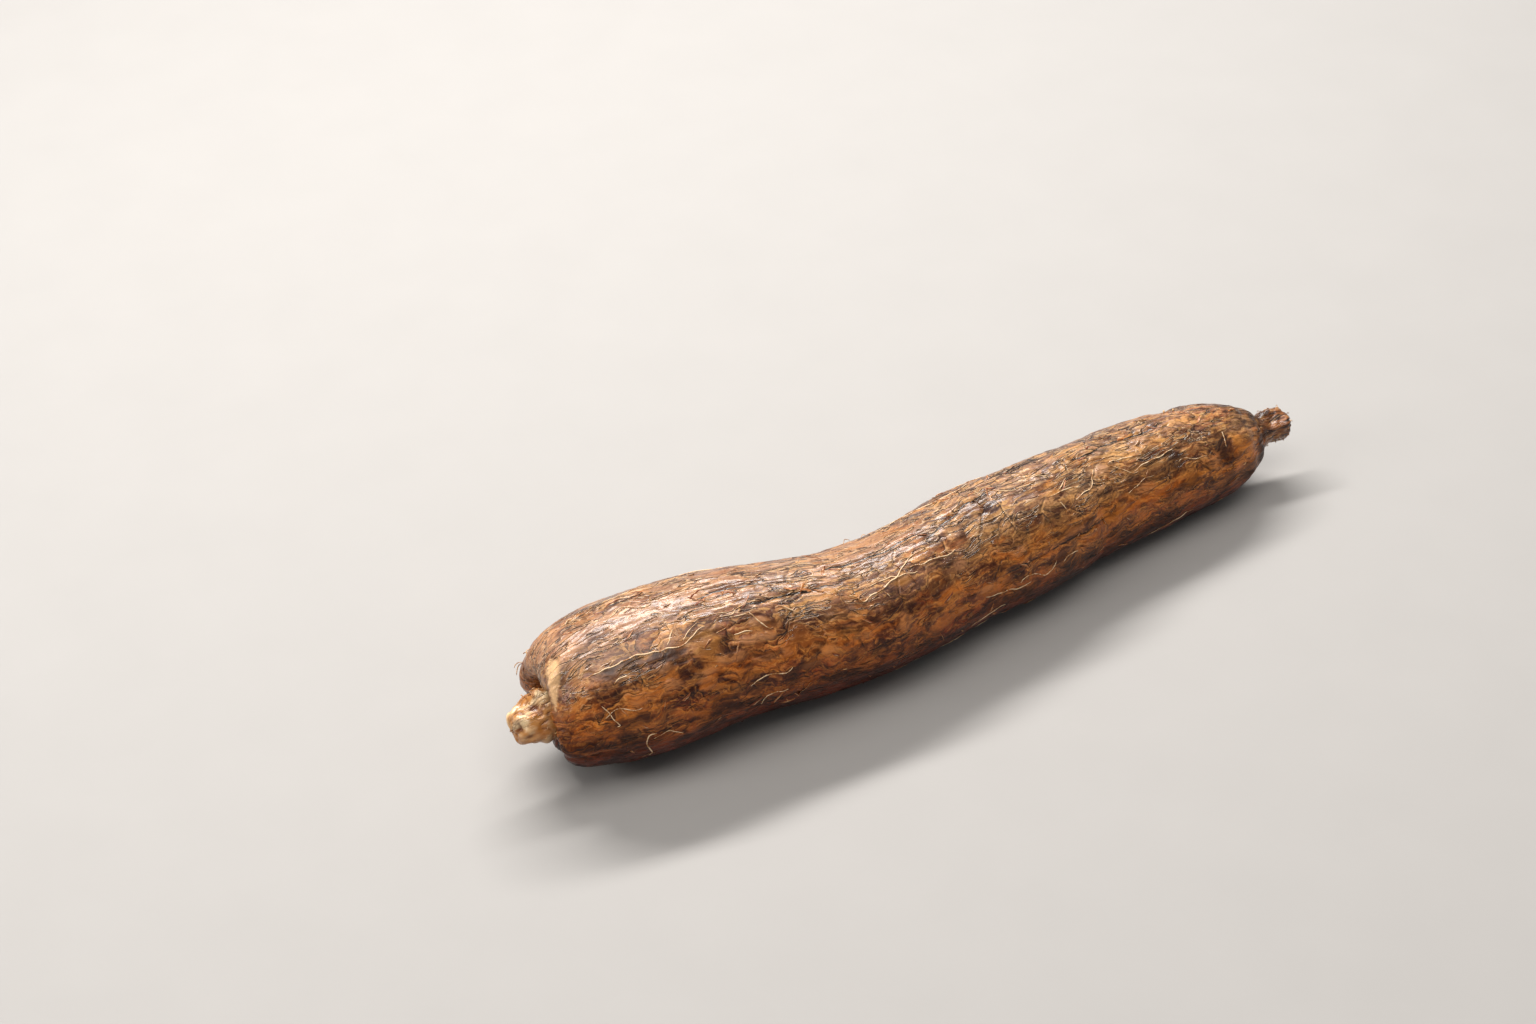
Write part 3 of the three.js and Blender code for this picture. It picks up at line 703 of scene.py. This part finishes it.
# Each path is a list of (x, angle), then the thickness in mm
ROOTLETS = [
    ([(-165, 35), (-162, 34), (-159, 34), (-156, 35), (-152, 35), (-150, 34), (-146, 33), (-143, 34),
      (-139, 36), (-136, 37), (-133, 36), (-129, 37), (-124, 37), (-121, 35), (-118, 32), (-114, 30)], 0.62),
    ([(-125, 21), (-127, 26), (-129, 29), (-130, 32), (-132, 34)], 0.4),
    ([(-127, 20), (-124, 20), (-118, 24), (-114, 24), (-107, 25), (-102, 25)], 0.34),
    ([(-125, 34), (-122, 31), (-120, 29), (-116, 27)], 0.36),
    ([(-111, 38), (-109, 37), (-106, 35)], 0.44),
    ([(-104, 42), (-101, 42), (-98, 42), (-96, 43)], 0.48),
    ([(-108, 28), (-102, 28), (-99, 25), (-95, 23), (-92, 21)], 0.34),
    ([(-103, 30), (-96, 31), (-94, 32), (-91, 40), (-89, 44), (-87, 45)], 0.5),
    ([(-83, 30), (-80, 30), (-77, 34), (-76, 37)], 0.5),
    ([(-103, 82), (-99, 80), (-96, 79), (-90, 80), (-86, 80), (-84, 77)], 0.42),
    ([(-98, 106), (-96, 98), (-93, 96), (-89, 98), (-86, 98)], 0.4),
    ([(-157, 48), (-155, 45), (-152, 45), (-151, 45)], 0.45),
    ([(-164, 60), (-162, 66), (-161, 73), (-159, 79), (-160, 81)], 0.42),
    ([(-145, 95), (-148, 96), (-149, 102), (-147, 112), (-146, 117), (-147, 122)], 0.55),
    ([(-52, 33), (-49, 37), (-46, 41), (-42, 38), (-38, 38), (-37, 37), (-32, 33), (-28, 31),
      (-24, 27), (-19, 22), (-14, 20)], 0.62),
    ([(-37, 37), (-36, 41), (-35, 45)], 0.34),
    ([(-44, 31), (-38, 30), (-32, 30), (-29, 32), (-25, 32), (-21, 34), (-19, 36)], 0.42),
    ([(-23, 28), (-20, 29), (-16, 32), (-12, 32), (-7, 32), (-3, 35), (2, 34)], 0.45),
    ([(53, 28), (61, 29), (66, 29), (71, 31)], 0.42),
    ([(60, 26), (64, 22), (67, 18)], 0.36),
    ([(66, 41), (71, 38), (76, 38), (79, 34), (80, 28), (82, 23), (83, 19)], 0.46),
    ([(79, 34), (82, 37), (85, 38)], 0.34),
    ([(90, 22), (94, 21), (98, 23), (103, 25), (109, 27)], 0.4),
    ([(90, 23), (93, 28), (97, 36), (101, 41), (104, 40)], 0.34),
    ([(101, 39), (105, 37), (110, 36), (115, 35), (120, 33), (124, 32)], 0.52),
    ([(152, 31), (152, 38), (151, 50)], 0.45),
    ([(58, 37), (59, 43), (60, 48)], 0.36),
    ([(-20, -30), (-2, -34), (16, -30), (30, -33)], 0.5),
    ([(60, -50), (74, -47), (92, -52), (104, -50)], 0.5),
    ([(-110, -44), (-96, -40), (-84, -44)], 0.5),
]
chance = np.random.default_rng(5)
for _ in range(SHORT_ROOTLETS):
    x0, at0 = chance.uniform(-165, 150), chance.uniform(0, 360)
    length = chance.uniform(7, 30)
    bends = np.cumsum(chance.normal(0, 3.5, 4))
    path = [(x0 + length * n / 4, at0 + bend) for n, bend in enumerate([0, *bends])]
    ROOTLETS.append((path, chance.uniform(0.26, 0.42)))


def skin_at(row, at):
    """Points of the skin at a row of its grid and an angle, both of them lists of numbers."""
    row = np.clip(row, 0, ROWS - 1e-6)
    column = np.asarray(at) % 360 / 360 * AROUND
    i, j = np.floor(row).astype(int), np.floor(column).astype(int)
    p, q = (row - i)[:, None], (column - j)[:, None]
    near = skin[i, j % AROUND] * (1 - q) + skin[i, (j + 1) % AROUND] * q
    far = skin[i + 1, j % AROUND] * (1 - q) + skin[i + 1, (j + 1) % AROUND] * q
    return near * (1 - p) + far * p


def out_of_skin(row, at):
    """The way straight out of the skin."""
    along = skin_at(row + 1.5, at) - skin_at(row - 1.5, at)
    round_it = skin_at(row, np.asarray(at) + 2) - skin_at(row, np.asarray(at) - 2)
    out = np.cross(round_it, along)
    return out / np.linalg.norm(out, axis=1)[:, None]


past_pit = station[:, 0] > PAST_PIT
RIM_ROW = int(np.argmax(past_pit)) + int(np.argmin(row_x[past_pit, 0]))


def row_at(x):
    """The row of the body's skin at a place along it."""
    return np.interp(x, row_x[RIM_ROW:, 0], np.arange(RIM_ROW, ROWS + 1))


def strand(line, thickness, side, taper=0.25):
    """A thin closed tube along a line of points, that narrows to a share of itself at its ends."""
    along = np.gradient(line, axis=0)
    along /= np.linalg.norm(along, axis=1)[:, None]
    side = side - along * (side * along).sum(axis=1)[:, None]
    side /= np.linalg.norm(side, axis=1)[:, None]
    other = np.cross(along, side)
    share = np.linspace(0, 1, len(line))
    half = thickness / 2 * MM * (taper + (1 - taper) * np.sin(np.pi * share) ** 0.5)
    turn = 2 * np.pi * np.arange(ROOTLET_SIDES) / ROOTLET_SIDES
    ring = side[:, None] * np.cos(turn)[None, :, None] + other[:, None] * np.sin(turn)[None, :, None]
    rings = line[:, None] + half[:, None, None] * ring
    n, k = len(line), ROOTLET_SIDES
    faces = [
        (i * k + j, i * k + (j + 1) % k, (i + 1) * k + (j + 1) % k, (i + 1) * k + j)
        for i in range(n - 1) for j in range(k)
    ]
    faces.append(tuple(reversed(range(k))))
    faces.append(tuple((n - 1) * k + j for j in range(k)))
    return rings.reshape(-1, 3), faces


def joined(pieces):
    """The points and faces of many pieces as those of one, with nothing below the floor."""
    points, faces = [], []
    for piece_points, piece_faces in pieces:
        start = sum(len(p) for p in points)
        points.append(piece_points + [0, 0, max(ABOVE_FLOOR * MM - piece_points[:, 2].min(), 0)])
        faces += [tuple(start + n for n in face) for face in piece_faces]
    return np.concatenate(points).tolist(), faces


def smooth_path(path, steps):
    """A smooth path through points, in even steps."""
    path = np.array(path, float)
    t = np.linspace(0, len(path) - 1, steps)
    i = np.minimum(t.astype(int), len(path) - 2)
    return np.stack([between(path, column, i, t - i) for column in range(path.shape[1])], axis=1)


RIPPLES = [(0.6, 2.6), (0.35, 1.1)]  # degrees to each side, and mm along the rootlet
rootlet_strands = []
for path, thickness in ROOTLETS:
    length = np.hypot(np.diff([x for x, _ in path]), np.diff([at for _, at in path]) * 0.5).sum()
    steps = max(int(length / ROOTLET_STEP), 6)
    way = smooth_path(path, steps)
    along = np.linspace(0, length, steps)
    for (sway, stretch), start in zip(RIPPLES, chance.uniform(0, 6.28, 2)):
        way[:, 1] += sway * np.sin(along / stretch + start)
    row = row_at(way[:, 0])
    out = out_of_skin(row, way[:, 1])
    line = skin_at(row, way[:, 1]) + out * thickness * ROOTLET_RISE * MM
    rootlet_strands.append(strand(line, thickness, out))
rootlets = add_mesh("rootlets", *joined(rootlet_strands))

# Dried rootlet: cream and slightly waxy, browner where soil still clings to it.
tree = new_material(rootlets, "dried_rootlet")
where = add(tree, "TexCoord", out="Object")
on = patterned(tree, [("soil", where, 5, 1, 3, 0.5), ("wax", where, 0.8, 1, 2, 0.5)])
husk = lay(tree, colour("#F0D0A4"), on, [
    ("#A8723E", ("soil", 0.42, 0.6, 0, 1)),
    ("#FFE8C8", ("wax", 0.5, 0.66, 0, 0.6)),
])
shader = add(tree, "BsdfPrincipled", {"Base Color": husk, "Roughness": 0.45, "IOR": 1.45})
tree.links.new(shader, tree.nodes["Material Output"].inputs["Surface"])
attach(rootlets, "root")

# ---- Bark curls ----
# Scraps of the papery outer cork that have come loose along cracks and flake edges. One side of
# each still holds to the bark and the other curls up, so it shows a pale torn edge.
CURL_THICK = 0.16
CURLS, CURLS_ON_CRACKS = 160, 80
CURL_LONG, CURL_WIDE = 9, 4  # points along a curl and across it
CURL_SUNK = 0.06
chance = np.random.default_rng(17)
curls = []
curl_edges = []
for n in range(CURLS):
    if n < CURLS_ON_CRACKS:
        x0, x1, angle0, angle1, _ = CRACKS[n % len(CRACKS)]
        t = chance.uniform(0, 1)
        x = x0 + (x1 - x0) * t + chance.normal(0, 2)
        at = angle0 + (angle1 - angle0) * t + chance.normal(0, 3.5)
    else:
        x, at = chance.uniform(-168, 168), chance.uniform(0, 360)
    length, width = chance.uniform(2, 7), chance.uniform(0.5, 1.4)
    lift = chance.uniform(0.1, 0.35)
    skew, turned = chance.normal(0, 10), chance.choice([-1, 1])
    u, v = np.meshgrid(np.linspace(0, 1, CURL_LONG), np.linspace(0, 1, CURL_WIDE), indexing="ij")
    frayed = np.sin(u * chance.uniform(9, 17) + chance.uniform(0, 6))
    edge = np.sin(np.pi * u) ** 0.6 * (1 + 0.22 * frayed)
    radius_there = float(np.interp(x, row_x[RIM_ROW:, 0], row_radius[RIM_ROW:, 0]))
    degrees = 180 / np.pi / radius_there
    xs = x + length * (u - 0.5)
    ats = at + degrees * turned * width * edge * v + skew * (u - 0.5)
    row = row_at(xs.ravel())
    out = out_of_skin(row, ats.ravel())
    up = (lift * v**1.6 * np.sin(np.pi * u) ** 0.5 - CURL_SUNK).ravel()[:, None]
    low = skin_at(row, ats.ravel()) + out * up * MM
    high = low + out * CURL_THICK * MM

    # The upper face, the lower face and the hem between them
    each = len(low)
    grid = np.arange(each).reshape(CURL_LONG, CURL_WIDE)
    sheet = [
        (grid[i, j], grid[i, j + 1], grid[i + 1, j + 1], grid[i + 1, j])
        for i in range(CURL_LONG - 1) for j in range(CURL_WIDE - 1)
    ]
    border = [*grid[:, 0], *grid[-1, 1:], *grid[-2::-1, -1], *grid[0, -2:0:-1]]
    upper = [tuple(k + each for k in face) for face in sheet]
    lower = [face[::-1] for face in sheet]
    hem = [(a + each, b + each, b, a) for a, b in zip(border, border[1:] + border[:1])]
    curls.append((np.concatenate([low, high]), [face[::turned] for face in upper + lower + hem]))
    curl_edges.append(np.tile((v * np.sin(np.pi * u)).ravel(), 2))
bark_curls = add_mesh("bark_curls", *joined(curls))
layer = bark_curls.data.attributes.new("edge", "FLOAT", "POINT")
layer.data.foreach_set("value", np.concatenate(curl_edges).astype(np.float32))

# Loose cork: the bark's brown at the hinge, and pale and dry towards the torn edge.
tree = new_material(bark_curls, "loose_papery_cork")
where = add(tree, "TexCoord", out="Object")
on = patterned(tree, [("tint", where, 7, 1, 3, 0.5), ("streaks", where, 0.7, 3, 2, 0.5)])
on["edge"] = add(tree, "Attribute", out="Fac", attribute_name="edge")
felt = lay(tree, colour("#7A3A18"), on, [
    ("#B4703A", ("tint", 0.42, 0.58, 0, 1)),
    ("#E8BE92", ("edge", 0.45, 0.9, 0, 0.75)),
    ("#43200F", ("streaks", 0.35, 0.5, 0.5, 0)),
])
relief = add(tree, "Bump", {"Height": on["streaks"], "Strength": 0.6, "Distance": 0.2 * MM})
shader = add(tree, "BsdfPrincipled", {"Base Color": felt, "Roughness": 0.42, "IOR": 1.45, "Normal": relief})
tree.links.new(shader, tree.nodes["Material Output"].inputs["Surface"])
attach(bark_curls, "root")

# ---- Torn fibres ----
# Stiff fibres of the inner bark, where the stem and the tail were broken off: a fringe round each
# stub, some hairs at the shoulder's edge, and a few short stumps of side roots on the back.

# (x, angle, rise, way along, way round, length, thickness)
FIBRES = [
    (-174, -40, 0.6, -0.9, 0.2, 4, 0.35), (-34, -40, 0.5, 0.8, -0.3, 5, 0.3),
    (-22, -42, 0.5, -0.6, -0.3, 4, 0.3), (138, -34, 0.7, 0.2, -0.3, 2.4, 0.9),
    (142, -30, 0.7, 0.3, -0.2, 2, 0.8), (60, -44, 0.4, -0.4, -0.2, 3, 0.3),
]
# Hairs that hang off the shoulder: (x, angle, how far out, how far down, thickness)
HAIRS = [
    (-176.5, -62, 2.6, 5.5, 0.42), (-178, -52, 0.9, 7.5, 0.4), (-175, -70, 3.2, 3.0, 0.36),
    (-174.5, -50, 1.6, 0.6, 0.4),
]
LOOSE_FIBRES = 40
FRINGE_FIBRES, SHARE_ON_STUB = 150, 0.6
STUB_FRINGE, TAIL_FRINGE = 5.2, 25.2  # stations
FIBRE_STEP = 0.6
FIBRE_SUNK, FIBRE_ENDS = 0.1, 0.5
FIBRE_BOW = 0.18
FIBRE_LEAVES = 0.12  # share of a half circle at which a fibre leaves the skin


def place(row, at):
    """A point of the skin, and the ways along the skin, round it and out of it there."""
    row, at = np.array([row], float), np.array([at], float)
    out = out_of_skin(row, at)[0]
    along = (skin_at(row + 1, at) - skin_at(row - 1, at))[0]
    along /= np.linalg.norm(along)
    return skin_at(row, at)[0], along, np.cross(along, out), out


def rooted(line, out, thickness):
    """A strand along a line, set a little into the skin."""
    side = np.repeat(out[None], len(line), axis=0)
    return strand(line - out * FIBRE_SUNK * MM, thickness, side, FIBRE_ENDS)


def fibre_from(row, at, rise, forward, sideways, length, thickness):
    """A fibre that leaves the skin and bends back to it."""
    start, along, round_it, out = place(row, at)
    t = np.linspace(0, 1, max(int(length / FIBRE_STEP), 5))[:, None]
    heading = along * forward + round_it * sideways
    arch = rise * np.sin(np.pi * (FIBRE_LEAVES + 0.7 * t)) - rise * math.sin(FIBRE_LEAVES * math.pi)
    bow = FIBRE_BOW * np.sin(4 * t + 20 * length) * np.cross(out, heading)
    return rooted(start + (heading * t + bow * t + out * arch) * length * MM, out, thickness)


chance = np.random.default_rng(29)
for _ in range(LOOSE_FIBRES):
    x, at, rise = chance.uniform(-172, 172), chance.uniform(0, 360), chance.uniform(0.1, 0.5)
    forward, sideways = chance.uniform(-1, 1), chance.uniform(-0.6, 0.6)
    length, thickness = chance.uniform(1.5, 4), chance.uniform(0.2, 0.34)
    FIBRES.append((x, at, rise, forward, sideways, length, thickness))
fringe = [fibre_from(float(row_at(x)), *fibre) for x, *fibre in FIBRES]
stub_row = float(np.argmin(np.abs(station[:, 0] - STUB_FRINGE)))
tail_row = float(np.argmin(np.abs(station[:, 0] - TAIL_FRINGE)))
for _ in range(FRINGE_FIBRES):
    on_stub = chance.uniform() < SHARE_ON_STUB
    row = stub_row + chance.uniform(-14, 3) if on_stub else tail_row + chance.uniform(-6, 16)
    at = chance.uniform(0, 360)
    forward, sideways = chance.uniform(-1, 1), chance.uniform(-0.7, 0.7)
    rise, length, thickness = chance.uniform(0.2, 0.7), chance.uniform(1.2, 3.2), chance.uniform(0.25, 0.5)
    fringe.append(fibre_from(row, at, rise, forward, sideways, length, thickness))
for x, at, away, drop, thickness in HAIRS:
    start, along, _, out = place(float(row_at(x)), at)
    t = np.linspace(0, 1, 14)[:, None]
    reach = (out - 0.4 * along) * away * (1 - (1 - t) ** 2) + 0.5 * along * np.sin(5 * t + x) * t
    line = start + (reach - np.array([0, 0, drop]) * t**1.6) * MM
    fringe.append(rooted(line, out, thickness))
fibres = add_mesh("torn_fibres", *joined(fringe))

# Torn bast: pale tan where clean, dark reddish brown where it has dried out.
tree = new_material(fibres, "torn_bast")
where = add(tree, "TexCoord", out="Object")
on = patterned(tree, [("dried", where, 4, 1, 2, 0.5), ("clean", where, 0.6, 1, 2, 0.5)])
straw = lay(tree, colour("#D8A872"), on, [
    ("#6E3416", ("dried", 0.45, 0.56, 0, 1)),
    ("#F0D2A6", ("clean", 0.5, 0.64, 0, 0.5)),
])
shader = add(tree, "BsdfPrincipled", {"Base Color": straw, "Roughness": 0.5, "IOR": 1.45})
tree.links.new(shader, tree.nodes["Material Output"].inputs["Surface"])
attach(fibres, "root")

# ---- Floor, lights and camera ----
# A pale paper floor. A long narrow soft light shines from above and behind, a small one from the
# left and a broad one from overhead, and the white room adds a little light all round.
bpy.ops.mesh.primitive_plane_add(size=8)
floor = bpy.context.object
floor.name = "floor"
tree = new_material(floor, "pale_paper")
where = add(tree, "TexCoord", out="Object")
clouds = add(tree, "TexNoise", {"Vector": where, "Scale": 1 / (40 * MM), "Detail": 3})
shade = add(tree, "Mix", {0: clouds, 6: colour("#A7A6A4"), 7: colour("#ABAAA8")}, 2, data_type="RGBA")
shader = add(tree, "BsdfPrincipled", {"Base Color": shade, "Roughness": 0.9})
tree.links.new(shader, tree.nodes["Material Output"].inputs["Surface"])

world = bpy.data.worlds.new("studio")
world.use_nodes = True
room = world.node_tree.nodes["Background"]
room.inputs["Color"].default_value = colour("#FFFFFF")
room.inputs["Strength"].default_value = 0.2
bpy.context.scene.world = world
bpy.context.scene.view_settings.view_transform = "Standard"


def softbox(name, at, width, height, power, shade):
    lamp = bpy.data.lights.new(name, "AREA")
    lamp.shape = "RECTANGLE"
    lamp.size, lamp.size_y = width, height
    lamp.energy = power
    lamp.color = colour(shade)[:3]
    made = bpy.data.objects.new(name, lamp)
    made.location = at
    made.rotation_euler = (-Vector(at)).to_track_quat("-Z", "Y").to_euler()
    bpy.context.scene.collection.objects.link(made)


softbox("key", (0.12, 0.85, 1.12), 1.5, 0.16, 33, "#FFFAF6")
softbox("left", (-1.3, 0.1, 0.8), 0.5, 0.5, 5.5, "#FFFAF6")
softbox("overhead", (-0.15, -0.35, 1.5), 1.4, 1.0, 13.5, "#FFF8F2")

CAMERA_AT = (-0.5353, -0.8488, 0.8409)
AZIMUTH, ELEVATION, ROLL = -28.41, 37.86, -2.07
camera = bpy.data.objects.new("camera", bpy.data.cameras.new("camera"))
camera.data.sensor_width = 36
camera.data.lens = 72.16
camera.data.clip_end = 50
turn = Matrix.Rotation(math.radians(AZIMUTH), 4, "Z")
turn = turn @ Matrix.Rotation(math.radians(90 - ELEVATION), 4, "X")
turn = turn @ Matrix.Rotation(math.radians(ROLL), 4, "Z")
camera.matrix_world = Matrix.Translation(CAMERA_AT) @ turn
bpy.context.scene.collection.objects.link(camera)
bpy.context.scene.camera = camera
